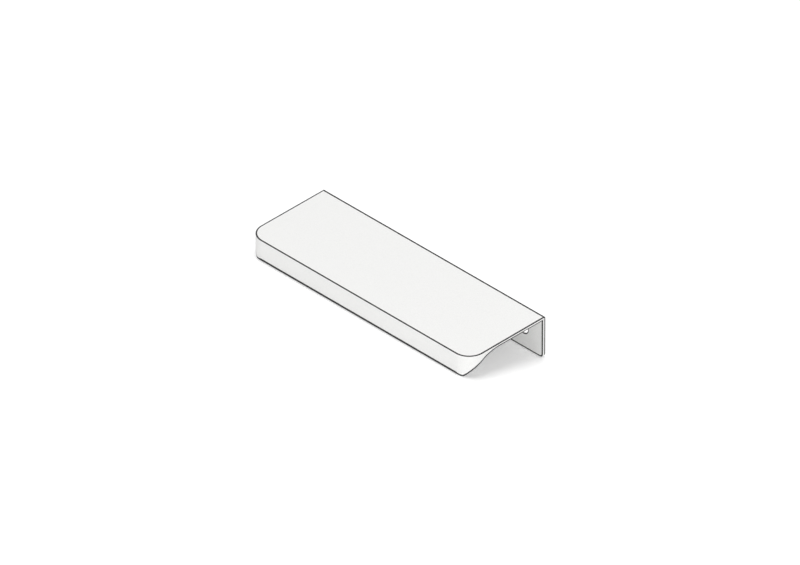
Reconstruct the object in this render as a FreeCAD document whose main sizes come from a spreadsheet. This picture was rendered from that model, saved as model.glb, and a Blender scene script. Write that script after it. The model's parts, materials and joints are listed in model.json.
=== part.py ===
import FreeCAD, Part

import math
import os

import Sketcher

# A finger pull cut from an extruded aluminium section. A thin plate covers the top edge of a
# door or drawer front, a leg hangs down behind the front and is screwed to it, and a lip hangs
# down at the plate's front edge. The hollow behind the lip is what the fingers pull on.
#
# The section is drawn with its front top edge at the origin, +Y to the back and +Z up.
# Millimetres; the one angle is in degrees.
SIZES = [
    ("profile_length", 116.0, "end to end"),
    ("plate_depth", 40.0, "front of the lip to the back of the leg"),
    ("plate_thickness", 1.1, "plate between the hollow and the leg"),
    ("leg_height", 18.0, "top face to the bottom of the leg"),
    ("leg_thickness", 1.4, "leg, front to back"),
    ("back_edge_radius", 0.3, "rounding of the top back edge"),
    ("lip_height", 9.25, "top face to the tip of the lip"),
    ("lip_tip_radius", 0.5, "rounded tip of the lip"),
    ("grip_radius", 18.0, "hollow behind the lip"),
    ("front_corner_radius", 7.0, "front corners, seen from above"),
    ("leg_corner_radius", 1.5, "lower corners of the leg, seen from behind"),
    ("screw_hole_diameter", 4.5, "clearance for the screw's shank"),
    ("screw_hole_inset", 10.0, "hole centre from each end"),
    ("screw_hole_drop", 9.2, "hole centre below the top face"),
    ("screw_hole_land", 0.5, "straight wall left in front of the countersink"),
    ("countersink_angle", 90.0, "full angle of the countersink"),
]

doc = FreeCAD.newDocument("FingerPull")


def make_sheet(rows):
    sheet = doc.addObject("Spreadsheet::Sheet", "Sizes")
    for number, (name, value, note) in enumerate(rows, start=1):
        sheet.set(f"A{number}", name)
        sheet.set(f"B{number}", str(value))
        sheet.setAlias(f"B{number}", name)
        sheet.set(f"C{number}", note)
    doc.recompute()
    return sheet


def origin_plane(body, role):
    return next(plane for plane in body.Origin.OriginFeatures if plane.Role == role)


def add_sketch(body, name, role):
    sketch = body.newObject("Sketcher::SketchObject", name)
    sketch.AttachmentSupport = (origin_plane(body, role), [""])
    sketch.MapMode = "FlatFace"
    return sketch


def line(sketch, start, end):
    return sketch.addGeometry(Part.LineSegment(flat(start), flat(end)), False)


def arc(sketch, centre, radius, start_angle, end_angle):
    circle = Part.Circle(flat(centre), FreeCAD.Vector(0, 0, 1), radius)
    return sketch.addGeometry(Part.ArcOfCircle(circle, start_angle, end_angle), False)


def flat(point):
    return FreeCAD.Vector(point[0], point[1], 0)


def fix(sketch, kind, *places):
    return sketch.addConstraint(Sketcher.Constraint(kind, *places))


def dimension(sketch, name, expression, kind, *places_and_value):
    """Add a named dimension and bind it to the sheet."""
    number = fix(sketch, kind, *places_and_value)
    sketch.renameConstraint(number, name)
    sketch.setExpression(f"Constraints.{name}", expression)


# Ends of a sketch line or arc, and the centre of an arc
START, END, CENTRE = 1, 2, 3
# Vertex of the sketch's own origin
ORIGIN = (-1, 1)


def draw_section(body, size):
    """The extruded section, seen from the right-hand end."""
    sketch = add_sketch(body, "Section", "YZ_Plane")
    depth, height = size["plate_depth"], size["leg_height"]
    plate, leg = size["plate_thickness"], size["leg_thickness"]
    edge, tip, grip = size["back_edge_radius"], size["lip_tip_radius"], size["grip_radius"]

    # The hollow is an arc that leaves the plate's underside and meets the round tip, both smoothly,
    # so its centre lies one grip radius below the underside and both radii from the tip's centre.
    tip_centre = (tip, tip - size["lip_height"])
    rise = tip_centre[1] + plate + grip
    hollow_end = tip + math.sqrt((grip + tip) ** 2 - rise ** 2)
    grip_centre = (hollow_end, -plate - grip)
    meeting = math.atan2(rise, tip - hollow_end)

    top = line(sketch, (0, 0), (depth - edge, 0))
    back_edge = arc(sketch, (depth - edge, -edge), edge, 0, math.pi / 2)
    leg_back = line(sketch, (depth, -edge), (depth, -height))
    leg_bottom = line(sketch, (depth, -height), (depth - leg, -height))
    leg_front = line(sketch, (depth - leg, -height), (depth - leg, -plate))
    underside = line(sketch, (depth - leg, -plate), (hollow_end, -plate))
    hollow = arc(sketch, grip_centre, grip, math.pi / 2, meeting)
    lip_tip = arc(sketch, tip_centre, tip, math.pi, math.pi + meeting)
    lip_front = line(sketch, (0, tip_centre[1]), (0, 0))

    fix(sketch, "Coincident", top, START, *ORIGIN)
    for level in (top, leg_bottom, underside):
        fix(sketch, "Horizontal", level)
    for upright in (leg_back, leg_front, lip_front):
        fix(sketch, "Vertical", upright)
    fix(sketch, "Tangent", top, END, back_edge, END)
    fix(sketch, "Tangent", back_edge, START, leg_back, START)
    fix(sketch, "Coincident", leg_back, END, leg_bottom, START)
    fix(sketch, "Coincident", leg_bottom, END, leg_front, START)
    fix(sketch, "Coincident", leg_front, END, underside, START)
    fix(sketch, "Tangent", underside, END, hollow, START)
    fix(sketch, "Tangent", hollow, END, lip_tip, END)
    fix(sketch, "Tangent", lip_tip, START, lip_front, START)
    fix(sketch, "Coincident", lip_front, END, top, START)

    dimension(sketch, "depth", "Sizes.plate_depth", "DistanceX", *ORIGIN, leg_back, END, depth)
    dimension(sketch, "height", "Sizes.leg_height", "DistanceY", leg_back, END, *ORIGIN, height)
    dimension(sketch, "leg", "Sizes.leg_thickness", "DistanceX", leg_bottom, END, leg_bottom, START, leg)
    dimension(sketch, "plate", "Sizes.plate_thickness", "DistanceY", underside, START, *ORIGIN, plate)
    dimension(sketch, "edge", "Sizes.back_edge_radius", "Radius", back_edge, edge)
    dimension(sketch, "grip", "Sizes.grip_radius", "Radius", hollow, grip)
    dimension(sketch, "tip", "Sizes.lip_tip_radius", "Radius", lip_tip, tip)
    dimension(sketch, "lip", "Sizes.lip_height - Sizes.lip_tip_radius",
              "DistanceY", lip_tip, CENTRE, *ORIGIN, -tip_centre[1])
    return sketch


def draw_front_corner(body, size):
    """What the mill takes off the right-hand front corner, seen from above."""
    sketch = add_sketch(body, "FrontCorner", "XY_Plane")
    radius = size["front_corner_radius"]
    end = size["profile_length"] / 2
    # The waste reaches one radius past both faces.
    waste = radius

    bend = arc(sketch, (end - radius, radius), radius, -math.pi / 2, 0)
    end_side = line(sketch, (end, radius), (end + waste, radius))
    outside = line(sketch, (end + waste, radius), (end + waste, -waste))
    front = line(sketch, (end + waste, -waste), (end - radius, -waste))
    front_side = line(sketch, (end - radius, -waste), (end - radius, 0))

    for level in (end_side, front):
        fix(sketch, "Horizontal", level)
    for upright in (outside, front_side):
        fix(sketch, "Vertical", upright)
    fix(sketch, "Coincident", bend, END, end_side, START)
    fix(sketch, "Coincident", end_side, END, outside, START)
    fix(sketch, "Coincident", outside, END, front, START)
    fix(sketch, "Coincident", front, END, front_side, START)
    fix(sketch, "Coincident", front_side, END, bend, START)

    dimension(sketch, "radius", "Sizes.front_corner_radius", "Radius", bend, radius)
    dimension(sketch, "centre_x", "Sizes.profile_length / 2 - Sizes.front_corner_radius",
              "DistanceX", *ORIGIN, bend, CENTRE, end - radius)
    dimension(sketch, "centre_y", "Sizes.front_corner_radius",
              "DistanceY", *ORIGIN, bend, CENTRE, radius)
    dimension(sketch, "end_y", "Sizes.front_corner_radius",
              "DistanceY", *ORIGIN, bend, END, radius)
    dimension(sketch, "front_x", "Sizes.profile_length / 2 - Sizes.front_corner_radius",
              "DistanceX", *ORIGIN, bend, START, end - radius)
    dimension(sketch, "past_end", "Sizes.front_corner_radius",
              "DistanceX", end_side, START, end_side, END, waste)
    dimension(sketch, "past_front", "Sizes.front_corner_radius",
              "DistanceY", front_side, START, front_side, END, waste)
    return sketch


def draw_screw_holes(body, size):
    """Centres of the two screw holes on the back of the leg."""
    sketch = add_sketch(body, "ScrewHoles", "XZ_Plane")
    sketch.setExpression("AttachmentOffset.Base.z", "-Sizes.plate_depth")
    reach = size["profile_length"] / 2 - size["screw_hole_inset"]
    drop = size["screw_hole_drop"]
    radius = size["screw_hole_diameter"] / 2

    for name, side in (("left", -1), ("right", 1)):
        circle = Part.Circle(flat((side * reach, -drop)), FreeCAD.Vector(0, 0, 1), radius)
        hole = sketch.addGeometry(circle, False)
        ends = (hole, CENTRE, *ORIGIN) if side < 0 else (*ORIGIN, hole, CENTRE)
        dimension(sketch, f"{name}_reach", "Sizes.profile_length / 2 - Sizes.screw_hole_inset",
                  "DistanceX", *ends, reach)
        dimension(sketch, f"{name}_drop", "Sizes.screw_hole_drop",
                  "DistanceY", hole, CENTRE, *ORIGIN, drop)
        dimension(sketch, f"{name}_diameter", "Sizes.screw_hole_diameter", "Diameter", hole, 2 * radius)
    return sketch


def leg_corner_edges(shape, size):
    """The two short edges at the lower ends of the leg."""
    end = size["profile_length"] / 2
    tolerance = 1e-4
    names = []
    for number, edge in enumerate(shape.Edges, start=1):
        box = edge.BoundBox
        at_end = abs(abs(box.Center.x) - end) < tolerance and box.XLength < tolerance
        at_bottom = abs(box.Center.z + size["leg_height"]) < tolerance and box.ZLength < tolerance
        if at_end and at_bottom:
            names.append(f"Edge{number}")
    return names


def make_finger_pull(size):
    body = doc.addObject("PartDesign::Body", "FingerPullProfile")
    body.Label = "finger_pull_profile"

    extrusion = body.newObject("PartDesign::Pad", "Extrusion")
    extrusion.Profile = draw_section(body, size)
    extrusion.SideType = "Symmetric"
    extrusion.setExpression("Length", "Sizes.profile_length")
    doc.recompute()

    corner = body.newObject("PartDesign::Pocket", "FrontCornerCut")
    corner.Profile = draw_front_corner(body, size)
    corner.Type = "ThroughAll"
    doc.recompute()

    corners = body.newObject("PartDesign::Mirrored", "FrontCornerCuts")
    corners.Originals = [corner]
    corners.MirrorPlane = (origin_plane(body, "YZ_Plane"), [""])
    body.Tip = corners
    doc.recompute()

    rounding = body.newObject("PartDesign::Fillet", "LegCorners")
    rounding.Base = (corners, leg_corner_edges(corners.Shape, size))
    rounding.setExpression("Radius", "Sizes.leg_corner_radius")
    doc.recompute()

    holes = body.newObject("PartDesign::Hole", "CountersunkHoles")
    holes.Profile = draw_screw_holes(body, size)
    doc.recompute()
    holes.Threaded = False
    holes.ThreadType = "None"
    holes.DepthType = "Dimension"
    holes.DrillPoint = "Flat"
    holes.Reversed = True
    holes.HoleCutType = "Countersink"
    holes.HoleCutCustomValues = True
    # The drill runs on past the leg by the leg's own thickness.
    holes.setExpression("Depth", "2 * Sizes.leg_thickness")
    holes.setExpression("Diameter", "Sizes.screw_hole_diameter")
    holes.setExpression("HoleCutCountersinkAngle", "Sizes.countersink_angle")
    holes.setExpression("HoleCutDiameter", "Sizes.screw_hole_diameter"
                        " + 2 * (Sizes.leg_thickness - Sizes.screw_hole_land)"
                        " * tan(Sizes.countersink_angle / 2)")
    body.Tip = holes
    doc.recompute()
    return body


def lay_down(body):
    """Turn the profile as it comes to rest, on the tip of its lip and the bottom of its leg.

    The floor is the line that touches the round tip and passes through the leg's lower front
    edge. The origin is below the middle of the whole profile, on the floor.
    """
    drop = "(Sizes.leg_height - Sizes.lip_height + Sizes.lip_tip_radius)"
    run = "(Sizes.plate_depth - Sizes.leg_thickness - Sizes.lip_tip_radius)"
    tilt = f"(atan2({drop}; {run}) - asin(Sizes.lip_tip_radius / hypot({drop}; {run})))"
    middle = f"(Sizes.plate_depth * cos({tilt}) + Sizes.leg_height * sin({tilt})) / 2"
    lowest = f"Sizes.leg_height * cos({tilt}) - (Sizes.plate_depth - Sizes.leg_thickness) * sin({tilt})"
    body.Placement.Rotation.Axis = FreeCAD.Vector(1, 0, 0)
    body.setExpression("Placement.Rotation.Axis.x", "1")
    body.setExpression("Placement.Rotation.Axis.y", "0")
    body.setExpression("Placement.Rotation.Axis.z", "0")
    body.setExpression("Placement.Rotation.Angle", tilt)
    body.setExpression("Placement.Base.y", f"-{middle}")
    body.setExpression("Placement.Base.z", lowest)
    doc.recompute()


def check_model(parts):
    for thing in doc.Objects:
        if "Invalid" in thing.State or "Error" in thing.State:
            raise RuntimeError(f"{thing.Label} failed to build: {thing.State}")
    for part in parts:
        if part.Shape.isNull() or not part.Shape.isValid():
            raise RuntimeError(f"{part.Label} has no valid shape")
        if len(part.Shape.Solids) != 1:
            raise RuntimeError(f"{part.Label} is not one solid")


def export(parts):
    os.makedirs("parts", exist_ok=True)
    for part in parts:
        part.Shape.exportStep(f"parts/{part.Label}.step")
        box = part.Shape.BoundBox
        print(part.Label, f"volume {part.Shape.Volume:.1f} mm3,",
              f"size {box.XLength:.2f} x {box.YLength:.2f} x {box.ZLength:.2f} mm,",
              f"lowest point at {box.ZMin:.4f} mm, middle at y {box.Center.y:.4f} mm")


make_sheet(SIZES)
sizes = {name: value for name, value, note in SIZES}
finger_pull = make_finger_pull(sizes)
lay_down(finger_pull)
check_model([finger_pull])
export([finger_pull])
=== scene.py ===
import json
import math

import bmesh
import bpy
from mathutils import Matrix, Vector


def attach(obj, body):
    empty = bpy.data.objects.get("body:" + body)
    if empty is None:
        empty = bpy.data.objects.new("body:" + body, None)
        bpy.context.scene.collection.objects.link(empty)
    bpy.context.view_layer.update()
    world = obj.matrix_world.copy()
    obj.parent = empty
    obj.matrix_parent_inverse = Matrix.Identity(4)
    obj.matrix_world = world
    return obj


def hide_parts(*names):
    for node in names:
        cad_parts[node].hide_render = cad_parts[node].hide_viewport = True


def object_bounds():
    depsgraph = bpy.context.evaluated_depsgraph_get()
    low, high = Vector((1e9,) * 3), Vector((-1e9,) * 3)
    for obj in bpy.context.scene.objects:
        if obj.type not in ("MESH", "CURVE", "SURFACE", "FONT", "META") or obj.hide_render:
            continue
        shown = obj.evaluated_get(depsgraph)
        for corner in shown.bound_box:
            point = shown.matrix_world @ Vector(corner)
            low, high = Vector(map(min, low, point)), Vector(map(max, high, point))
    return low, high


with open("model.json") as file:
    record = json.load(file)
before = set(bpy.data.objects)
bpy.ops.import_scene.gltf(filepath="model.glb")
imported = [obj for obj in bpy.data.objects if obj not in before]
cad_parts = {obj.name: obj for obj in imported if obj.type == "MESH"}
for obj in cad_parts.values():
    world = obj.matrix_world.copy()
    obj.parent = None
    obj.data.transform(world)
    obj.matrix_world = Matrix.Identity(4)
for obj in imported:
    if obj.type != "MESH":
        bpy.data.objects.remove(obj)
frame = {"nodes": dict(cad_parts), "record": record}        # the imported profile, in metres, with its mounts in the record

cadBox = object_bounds()
cadNode = "finger_pull_profile"
mounts = {mount["name"]: mount for mount in frame["record"]["mounts"]}
mm = 0.001
print("frame loaded")


# The profile lies tilted, on its lip and its leg, so it is measured along ways of its own.
depthWay = Vector(mounts["screw_hole_right"]["axis"])        # front to back
heightWay = -Vector(mounts["plate_underside"]["axis"])       # out of the top face
lengthWay = depthWay.cross(heightWay)                        # left to right


def measured(way, low=False):
    reach = [vertex.co.dot(way) for vertex in frame["nodes"][cadNode].data.vertices]
    return min(reach) if low else max(reach)


def along(way, name):
    return Vector(mounts[name]["pos_m"]).dot(way)


topFace = measured(heightWay)
backFace = measured(depthWay)
frontFace = measured(depthWay, low=True)
frontTopEdge = depthWay * frontFace + heightWay * topFace    # its middle, where the mesh has its zero

# Millimetres. A place in the mesh is its length from the middle to the right, its depth from the front
# and its height above the top face.
profile = dict(
    length=(cadBox[1].x - cadBox[0].x) / mm,
    depth=(backFace - frontFace) / mm,
    height=(topFace - measured(heightWay, low=True)) / mm,
    plate=(topFace - along(heightWay, "plate_underside")) / mm,
    leg=(backFace - along(depthWay, "leg_inner_face")) / mm,
    lipHeight=9.25,
    tipRadius=0.5,
    gripRadius=18.0,
    frontCorner=7.0,
    legCorner=1.5,
    holeReach=mounts["screw_hole_right"]["pos_m"][0] / mm,
    holeDrop=(topFace - along(heightWay, "screw_hole_right")) / mm,
    holeRadius=mounts["screw_hole_right"]["dims"]["r_mm"],
    holeLand=mounts["screw_hole_right"]["dims"]["length_mm"],
    holePanel=4.5,        # half of the square of leg that each hole is cut in
    # the rims below carry the painted dark edge shade and set how wide it is
    faceRim=0.7,          # the loops beside the edges of the top and of the leg's inner face
    rim=0.5,              # and of the narrower faces
    holeRim=0.5,          # and round the holes, on the leg's inner face
    lowRim=0.1,           # how much wider they are along the plate's lower edge
    lipRim=0.25,          # low on the lip
    backRim=0.2,          # on the leg's ends, beside its back
    topBackRim=0.12,      # and on the top, along its back edge
    backEdge=0.3,         # how much the top back edge is rounded
    arris=0.12,           # the other outer edges
    rimArris=0.06,        # and the rims of the screw holes
    arrisSteps=4,
    tipSteps=8,
    tipRubbed=4,          # of those steps, from the front, the ones that carry the painted dark edge shade
    cornerSteps=20,
    hollowSteps=14,
    legCornerSteps=6,
    holeSteps=64,
    sharp=math.radians(40),        # an edge that turns more than this gets an arris
    crease=math.radians(50),       # and one that still turns more than this isn't shaded smooth
    faceWeight=100,                # how far the large faces hold the shading flat
    near=0.01,                     # what is this close to a face lies on it
    decimals=5,                    # places that agree to so many are one corner
)
profile.update(
    legFront=profile["depth"] - profile["leg"],
    sinkRadius=profile["holeRadius"] + (profile["leg"] - profile["holeLand"]),    # sunk at 90 degrees
)


def spread(start, end, steps):
    return [start + (end - start) * step / steps for step in range(steps + 1)]


def lowerLine(size):
    # (depth, height) pairs of the lip's tip, the hollow and the plate's underside, front to back
    tip, grip = size["tipRadius"], size["gripRadius"]
    tipHeight = tip - size["lipHeight"]
    rise = tipHeight + size["plate"] + grip
    hollowEnd = tip + math.sqrt((grip + tip) ** 2 - rise ** 2)
    meeting = math.atan2(rise, tip - hollowEnd)              # where the tip runs into the hollow
    corner = size["frontCorner"]

    def onHollow(depth):
        return math.sqrt(grip ** 2 - (hollowEnd - depth) ** 2) - grip - size["plate"]

    line = [(tip + tip * math.cos(turn), tipHeight + tip * math.sin(turn))
            for turn in spread(math.pi, math.pi + meeting, size["tipSteps"])]
    # the front corner is cut along the same stations, so they are even round that corner
    past = math.acos(1 - line[-1][0] / corner)
    for turn in spread(past, math.pi / 2, size["cornerSteps"])[1:]:
        depth = corner * (1 - math.cos(turn))
        line.append((depth, onHollow(depth)))
    lean = math.asin((hollowEnd - corner) / grip)
    for turn in spread(lean, 0, size["hollowSteps"])[1:]:
        depth = hollowEnd - grip * math.sin(turn)
        line.append((depth, onHollow(depth)))
    line.append((size["legFront"], -size["plate"]))
    return line


def endAt(depth, size):
    # how far the right-hand end reaches at this depth, with the corner milled round
    corner = size["frontCorner"]
    cut = corner - math.sqrt(corner ** 2 - (corner - depth) ** 2) if depth < corner else 0
    return size["length"] / 2 - cut


def legEnd(size):
    # (length, height) pairs of the leg's right-hand end, from under the plate to the bottom
    end, corner = size["length"] / 2, size["legCorner"]
    return [(end, -size["plate"])] + [
        (end - corner + corner * math.cos(turn), corner - size["height"] - corner * math.sin(turn))
        for turn in spread(0, math.pi / 2, size["legCornerSteps"])]


def legBreaks(size):
    # where the square panels round the screw holes start and end, along the length
    return sorted(side * size["holeReach"] + across * size["holePanel"]
                  for side in (-1, 1) for across in (-1, 1))


def holeCircle(side, depth, radius, size):
    reach, drop = side * size["holeReach"], size["holeDrop"]
    turns = [math.pi / 4 + 2 * math.pi * step / size["holeSteps"] for step in range(size["holeSteps"])]
    return [(reach + radius * math.cos(turn), depth, radius * math.sin(turn) - drop) for turn in turns]


def atHole(place, size):
    # on the leg, in a round patch about a screw hole
    across = math.hypot(abs(place.x) - size["holeReach"], place.z + size["holeDrop"])
    return place.y > size["legFront"] - size["near"] and across < size["holePanel"]


class Skin:
    # a mesh built face by face, where corners that fall together are one corner
    def __init__(self, decimals):
        self.mesh = bmesh.new()
        self.wear = self.mesh.loops.layers.float.new("wear")     # 1 where a dark line is painted along an edge as painted shade, 0 away from it
        self.decimals, self.corners = decimals, {}

    def corner(self, place):
        key = tuple(round(number, self.decimals) for number in place)
        if key not in self.corners:
            self.corners[key] = self.mesh.verts.new(place)
        return self.corners[key]

    def face(self, places):
        return self.mesh.faces.new([self.corner(place) for place in places])

    def strip(self, lineA, lineB):
        pairs = list(zip(lineA, lineB))
        return [self.face([nearA, farA, farB, nearB])
                for (nearA, nearB), (farA, farB) in zip(pairs, pairs[1:])]


def addPlate(skin, size):
    # the walls round the front and the ends, then the top, and one strip below for each station
    lower = lowerLine(size)
    rightLow = [(endAt(depth, size), depth, height)
                for depth, height in lower + [(size["depth"], -size["plate"])]]
    rightTop = [(reach, depth, 0) for reach, depth, height in rightLow]
    leftTop, leftLow = [[(-reach, depth, height) for reach, depth, height in line]
                        for line in (rightTop, rightLow)]
    walls = [skin.face([leftTop[0], rightTop[0], rightLow[0], leftLow[0]])]
    walls += skin.strip(rightTop, rightLow) + skin.strip(leftTop, leftLow)
    top = [skin.face(rightTop + leftTop[::-1])]
    last = len(lower) - 1
    under = skin.strip(rightLow[:last], leftLow[:last])
    atLeg = [(reach, size["legFront"], -size["plate"]) for reach in legBreaks(size)]
    skin.face([rightLow[last - 1], leftLow[last - 1], leftLow[last]] + atLeg + [rightLow[last]])
    # the first strips under the lip's tip get the painted dark edge shade, a painted dark line along the
    # lip's foot
    tipShadeCorners = {skin.corner(place) for line in (rightLow, leftLow) for place in line[:size["tipRubbed"]]}
    for bit in under[:size["tipRubbed"]]:
        for loop in bit.loops:
            loop[skin.wear] = float(loop.vert in tipShadeCorners)
    return walls, top


def addHolePanel(skin, square, circle):
    # four faces, each between a side of the square and a quarter of the circle
    quarter = len(circle) // 4
    faces = []
    for number in range(4):
        arc = (circle + circle[:1])[number * quarter:(number + 1) * quarter + 1]
        faces.append(skin.face([square[number], square[(number + 1) % 4]] + arc[::-1]))
    return faces


def addLeg(skin, size):
    # its ends and bottom, then its front and its back, in columns with a square panel round each hole
    end, breaks = legEnd(size), legBreaks(size)
    border = end + [(reach, -size["height"]) for reach in breaks[::-1]]
    border += [(-reach, height) for reach, height in end[::-1]]
    walls = skin.strip([(reach, size["legFront"], height) for reach, height in border],
                       [(reach, size["depth"], height) for reach, height in border])
    levels = (-size["height"], -size["holePanel"] - size["holeDrop"],
              size["holePanel"] - size["holeDrop"], -size["plate"])
    sides = []
    for depth, radius in ((size["legFront"], size["holeRadius"]), (size["depth"], size["sinkRadius"])):
        columns = [[(reach, depth, height) for height in levels] for reach in breaks]
        rounded = [(reach, depth, height) for reach, height in end]
        faces = [skin.face(rounded + columns[3]),
                 skin.face([(-reach, *place) for reach, *place in rounded] + columns[0]),
                 skin.face(columns[1] + columns[2][::-1])]
        for side, left, right in ((-1, *columns[:2]), (1, *columns[2:])):
            faces += [skin.face([left[low], right[low], right[low + 1], left[low + 1]]) for low in (0, 2)]
            faces += addHolePanel(skin, [right[2], left[2], left[1], right[1]],
                                  holeCircle(side, depth, radius, size))
        sides.append(faces)
    return walls, *sides


def addBackOfPlate(skin, size):
    # the strip above the leg's back
    half, back = size["length"] / 2, size["depth"]
    low = [(reach, back, -size["plate"]) for reach in [-half] + legBreaks(size) + [half]]
    return [skin.face([(half, back, 0), (-half, back, 0)] + low)]


def addHoles(skin, size):
    # the straight wall and the countersink of each
    for side in (-1, 1):
        rings = [holeCircle(side, depth, radius, size) for depth, radius in
                 ((size["legFront"], size["holeRadius"]),
                  (size["legFront"] + size["holeLand"], size["holeRadius"]),
                  (size["depth"], size["sinkRadius"]))]
        for ringA, ringB in zip(rings, rings[1:]):
            skin.strip(ringA + ringA[:1], ringB + ringB[:1])


def takesEdgeShade(place, size):
    # which rims get the painted dark edge shade: the top's rim, the lower edges, the leg's inner face and
    # round the screw holes
    if abs(place.y - size["depth"]) < size["near"]:
        return atHole(place, size)
    if abs(place.y - size["legFront"]) < size["near"]:
        return place.z < -size["plate"] - size["faceRim"]
    besideTop = -size["rim"] < place.z < -size["near"]
    besideLeg = place.z < -size["plate"] and 0 < place.y - size["legFront"] < size["rim"]
    return not (besideTop or besideLeg)


def addRim(skin, faces, rim, size):
    # a narrow loop beside the edges, which holds the faces flat and carries the painted dark edge shade
    made = bmesh.ops.inset_region(skin.mesh, faces=faces, thickness=rim, use_even_offset=True)["faces"]
    inner = {vertex for bit in faces for vertex in bit.verts}
    for bit in made:
        if takesEdgeShade(bit.calc_center_median(), size):
            for loop in bit.loops:
                loop[skin.wear] = float(loop.vert not in inner)
    ends = [sorted(edge.verts, key=inner.__contains__)
            for edge in {edge for bit in made for edge in bit.edges}]
    return [(outside, inside) for outside, inside in ends if inside in inner and outside not in inner]


def widenWallRim(pairs, size):
    # wider on the leg's ends beside its back, along the plate's lower edge, and more so low on the lip
    for outside, inside in pairs:
        if abs(outside.co.y - size["depth"]) < size["near"]:
            inside.co.y -= size["backRim"]
        elif outside.co.z < -size["near"] and outside.co.y < size["legFront"]:
            tall = min(1, (-outside.co.z - size["plate"]) / size["plate"])
            wider = size["lowRim"] + (size["lipRim"] - size["lowRim"]) * tall
            inside.co += (inside.co - outside.co).normalized() * wider


def narrowHoleRim(pairs, size):
    for outside, inside in pairs:
        if atHole(outside.co, size):
            inside.co = outside.co + (inside.co - outside.co).normalized() * size["holeRim"]


def breakEdges(skin, size):
    for holes, radius in ((True, size["rimArris"]), (False, size["arris"])):
        edges = [edge for edge in skin.mesh.edges if edge.calc_face_angle_signed(0) > size["sharp"]
                 and all(atHole(vertex.co, size) == holes for vertex in edge.verts)]
        made = bmesh.ops.bevel(skin.mesh, geom=edges, offset=radius, offset_type="OFFSET", affect="EDGES",
                               segments=size["arrisSteps"], profile=0.5, clamp_overlap=False)
        # each arris gets the painted dark edge shade
        for loop in [loop for bit in made["faces"] for loop in bit.loops]:
            loop[skin.wear] = 1.0

    # the top back edge is rounder than the rest, so its arris is drawn larger,
    # and the top's rim moves in past it
    larger = size["backEdge"] / size["arris"]
    for vertex in skin.mesh.verts:
        inward, down = size["depth"] - vertex.co.y, -vertex.co.z
        if max(inward, down) < size["arris"] + size["near"]:
            vertex.co.y = size["depth"] - inward * larger
            vertex.co.z = -down * larger
        elif down < size["near"] and inward < size["faceRim"] + size["near"]:
            vertex.co.y -= size["backEdge"] - size["arris"] + size["topBackRim"]


def sortFaces(mesh):
    # the bevel leaves its faces in another order on each run
    mesh.verts.index_update()
    order = sorted(mesh.faces, key=lambda bit: sorted(vertex.index for vertex in bit.verts))
    rank = {bit: number for number, bit in enumerate(order)}
    mesh.faces.sort(key=rank.get)


def buildProfile(size):
    skin = Skin(size["decimals"])
    walls, top = addPlate(skin, size)
    legWalls, legFront, legBack = addLeg(skin, size)
    plateBack = addBackOfPlate(skin, size)
    addHoles(skin, size)
    bmesh.ops.recalc_face_normals(skin.mesh, faces=skin.mesh.faces)
    addRim(skin, top, size["faceRim"], size)
    widenWallRim(addRim(skin, walls + legWalls, size["rim"], size), size)
    narrowHoleRim(addRim(skin, legFront, size["faceRim"], size), size)
    addRim(skin, legBack + plateBack, size["rim"], size)
    breakEdges(skin, size)
    sortFaces(skin.mesh)
    return skin.mesh


def turnedTo(xWay, yWay, zWay):
    return Matrix((xWay, yWay, zWay)).transposed().to_4x4()


def addObject(name, data):
    added = bpy.data.objects.new(name, data)
    bpy.context.scene.collection.objects.link(added)
    return added


def addMesh(name, mesh):
    data = bpy.data.meshes.new(name)
    mesh.to_mesh(data)
    mesh.free()
    return addObject(name, data)


def placeProfile(mesh, size):
    mesh.transform(Matrix.Translation(frontTopEdge) @ turnedTo(lengthWay, depthWay, heightWay)
                   @ Matrix.Scale(mm, 4))
    for bit in mesh.faces:
        bit.smooth = True
    for edge in mesh.edges:
        edge.smooth = edge.calc_face_angle(0) < size["crease"]
    piece = addMesh("coatedProfile", mesh)
    level = piece.modifiers.new("levelFaces", "WEIGHTED_NORMAL")
    level.keep_sharp = True
    level.weight = size["faceWeight"]
    return piece


class Wire:
    # a shader socket that can be written into sums, or the start of a tree when it has none
    def __init__(self, tree, socket=None):
        self.tree, self.socket = tree, socket

    def node(self, kind, settings=None, inputs=None, output=0):
        made = self.tree.nodes.new(kind)
        for name, value in (settings or {}).items():
            setattr(made, name, value)
        for name, value in (inputs or {}).items():
            if isinstance(value, Wire):
                self.tree.links.new(value.socket, made.inputs[name])
            else:
                made.inputs[name].default_value = value
        return Wire(self.tree, made.outputs[output] if len(made.outputs) else None)

    def math(self, operation, first, second):
        return self.node("ShaderNodeMath", {"operation": operation}, {0: first, 1: second})

    def __add__(self, other):
        return self.math("ADD", self, other)

    def __radd__(self, other):
        return self.math("ADD", other, self)

    def __sub__(self, other):
        return self.math("SUBTRACT", self, other)

    def __rsub__(self, other):
        return self.math("SUBTRACT", other, self)

    def __mul__(self, other):
        return self.math("MULTIPLY", self, other)

    def __rmul__(self, other):
        return self.math("MULTIPLY", other, self)

    def noise(self, scale, detail):
        return self.node("ShaderNodeTexNoise", {}, {"Vector": self, "Scale": scale, "Detail": detail})

    def blend(self, colourA, colourB):
        # the node uses the same names for each kind of value, so its colour sockets go by number
        return self.node("ShaderNodeMix", {"data_type": "RGBA"},
                         {0: self, 6: colourA, 7: colourB}, output=2)


def newTree(owner):
    owner.use_nodes = True
    owner.node_tree.nodes.clear()
    return Wire(owner.node_tree)


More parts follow.
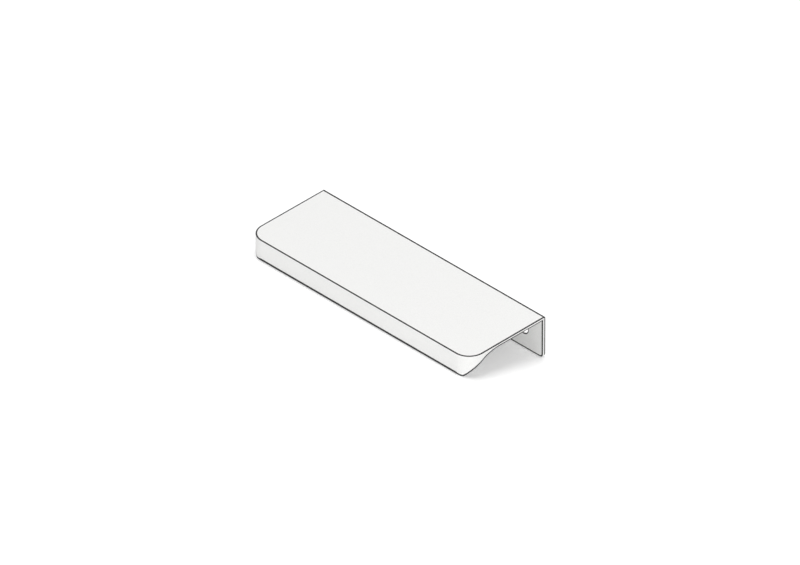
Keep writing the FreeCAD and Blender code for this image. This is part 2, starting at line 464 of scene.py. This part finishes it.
coat = dict(
    colour=(0.85, 0.85, 0.84, 1),
    hollowColour=(0.8, 0.8, 0.79, 1),        # in the small hollows of the coat's grain
    edgeColour=(0.02, 0.02, 0.021, 1),       # painted dark edge lines, a painted shade along the edges
    roughness=0.42,
    roughnessDrift=0.12,
    edgeRoughness=0.9,
    refraction=1.5,
    grain=3200.0,                            # bumps of the powder coat in a metre
    grainHeight=0.00003,
    hollowFrom=0.6,                          # the grain's level where its hollows start to darken
    hollowTo=0.35,                           # and where they are darkest
    cloud=70.0,                              # slow changes of its gloss
    ragged=1500.0,                           # how finely the edges of the painted dark bands are frayed
    fray=2.0,
    noiseDetail=3.0,
    noiseMiddle=0.5,                         # what each noise swings about
    wornFrom=0.06,                           # the mask value at which the painted dark edge shade starts
    wornTo=0.16,                             # and at which it is full
)


def coatMaterial(look):
    material = bpy.data.materials.new("whiteCoat")
    tree = newTree(material)
    place = tree.node("ShaderNodeTexCoord", output="Object")
    ragged, grain, cloud = [place.noise(look[name], look["noiseDetail"])
                            for name in ("ragged", "grain", "cloud")]
    # the painted dark edge shade: near-black bands along the edges, from the mesh's mask, frayed by noise
    wear = tree.node("ShaderNodeAttribute", {"attribute_name": "wear"}, output="Fac")
    edgeShadeMix = tree.node("ShaderNodeMapRange", {"interpolation_type": "SMOOTHSTEP"},
                     {"Value": wear + (ragged - look["noiseMiddle"]) * look["fray"] * wear,
                      "From Min": look["wornFrom"], "From Max": look["wornTo"]})
    low = tree.node("ShaderNodeMapRange", {},
                    {"Value": grain, "From Min": look["hollowFrom"], "From Max": look["hollowTo"]})
    colour = edgeShadeMix.blend(low.blend(look["colour"], look["hollowColour"]), look["edgeColour"])
    coatRoughness = look["roughness"] + (cloud - look["noiseMiddle"]) * look["roughnessDrift"]
    roughness = coatRoughness + edgeShadeMix * (look["edgeRoughness"] - coatRoughness)
    bump = tree.node("ShaderNodeBump", {},
                     {"Strength": 1.0, "Distance": look["grainHeight"], "Height": grain})
    surface = tree.node("ShaderNodeBsdfPrincipled", {},
                        {"Base Color": colour, "Roughness": roughness, "Normal": bump,
                         "IOR": look["refraction"]})
    tree.node("ShaderNodeOutputMaterial", {}, {"Surface": surface})
    return material


studio = dict(
    white=(1, 1, 1, 1),
    floorReach=30.0,
    floorColour=(0.86, 0.86, 0.86, 1),
    floorLift=0.25,                          # light that is added where the floor is seen directly
    backdropLight=1.0,                       # where 1 is white
    worldLight=0.5,                          # what the backdrop sheds on things
)


def seenDirectly(tree):
    # 1 for what the camera sees straight, in a gloss or through glass, 0 for the light that falls on things
    rays = [tree.node("ShaderNodeLightPath", output=name) for name in
            ("Is Camera Ray", "Is Glossy Ray", "Is Transmission Ray")]
    return tree.math("MINIMUM", rays[0] + rays[1] + rays[2], 1.0)


def makeFloor(look):
    mesh = bmesh.new()
    bmesh.ops.create_grid(mesh, x_segments=1, y_segments=1, size=look["floorReach"])
    floor = addMesh("floor", mesh)
    material = bpy.data.materials.new("paleFloor")
    tree = newTree(material)
    below = tree.node("ShaderNodeNewGeometry", output="Backfacing")      # where the floor is clear
    painted = tree.node("ShaderNodeBsdfDiffuse", {}, {"Color": look["floorColour"]})
    lift = tree.node("ShaderNodeEmission", {}, {"Color": look["white"], "Strength": look["floorLift"]})
    lifted = tree.node("ShaderNodeAddShader", {}, {0: painted, 1: lift})
    fromAbove = tree.node("ShaderNodeMixShader", {}, {0: seenDirectly(tree), 1: painted, 2: lifted})
    clear = tree.node("ShaderNodeBsdfTransparent")
    surface = tree.node("ShaderNodeMixShader", {}, {0: below, 1: fromAbove, 2: clear})
    tree.node("ShaderNodeOutputMaterial", {}, {"Surface": surface})
    floor.data.materials.append(material)


def makeWorld(look):
    world = bpy.data.worlds.new("studio")
    bpy.context.scene.world = world
    tree = newTree(world)
    light, backdrop = [
        tree.node("ShaderNodeBackground", {}, {"Color": look["white"], "Strength": look[name]})
        for name in ("worldLight", "backdropLight")]
    surround = tree.node("ShaderNodeMixShader", {}, {0: seenDirectly(tree), 1: light, 2: backdrop})
    tree.node("ShaderNodeOutputWorld", {}, {"Surface": surround})


lamps = dict(
    key=dict(kind="SUN", place=(-0.05, -0.2, 1.0), power=1.3, spread=math.radians(35)),
    fill=dict(kind="AREA", place=(0.9, -0.8, 0.2), power=6.5, spread=0.5),
    back=dict(kind="AREA", place=(-0.5, 1.05, 0.35), power=3.5, spread=0.6),
)


def makeLamps(look):
    # each looks at the middle of the floor
    for name, lamp in look.items():
        light = bpy.data.lights.new(name, lamp["kind"])
        light.energy = lamp["power"]
        if lamp["kind"] == "SUN":
            light.angle = lamp["spread"]
        else:
            light.shape = "DISK"
            light.size = lamp["spread"]
        holder = addObject(name, light)
        holder.location = lamp["place"]
        holder.rotation_mode = "QUATERNION"
        holder.rotation_quaternion = (-Vector(lamp["place"])).to_track_quat("-Z", "Y")


# The drawing is isometric: it looks down on the profile's right-hand front corner,
# equally along its three ways.
picture = dict(
    width=800,
    height=565,
    perMetre=2699.3,                 # pixels for a metre that lies across the view
    backCorner=(545.1, 316.65),      # where the right-hand back corner of the top face stands
    lens=1000.0,
    clipNear=0.01,                   # shares of the camera's distance
    clipFar=10.0,
)


def makeCamera(view):
    camera = addObject("camera", bpy.data.cameras.new("camera"))
    bpy.context.scene.camera = camera
    camera.data.lens = view["lens"]
    right = (lengthWay + depthWay).normalized()
    back = (lengthWay - depthWay + heightWay).normalized()
    up = back.cross(right)
    backCorner = frontTopEdge + lengthWay * cadBox[1].x + depthWay * (backFace - frontFace)
    acrossPicture = (view["width"] / 2 - view["backCorner"][0]) / view["perMetre"]
    upPicture = (view["backCorner"][1] - view["height"] / 2) / view["perMetre"]
    aim = backCorner + right * acrossPicture + up * upPicture
    boxMiddle = sum(cadBox, Vector()) / 2
    aim -= back * (aim - boxMiddle).dot(back)                # as deep in the view as the object
    halfView = camera.data.sensor_width / 2 / camera.data.lens
    distance = view["width"] / 2 / view["perMetre"] / halfView
    camera.matrix_world = Matrix.Translation(aim + back * distance) @ turnedTo(right, up, back)
    camera.data.clip_start = distance * view["clipNear"]
    camera.data.clip_end = distance * view["clipFar"]


coatedProfile = placeProfile(buildProfile(profile), profile)
print("profile shaped:", len(coatedProfile.data.polygons), "faces")

coatedProfile.data.materials.append(coatMaterial(coat))
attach(coatedProfile, "root")
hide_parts(cadNode)
print("profile coated")

makeFloor(studio)
makeWorld(studio)
print("floor and backdrop laid")

makeLamps(lamps)
print("lamps set:", ", ".join(lamps))

makeCamera(picture)
bpy.context.scene.view_settings.view_transform = "Standard"
print("camera set")
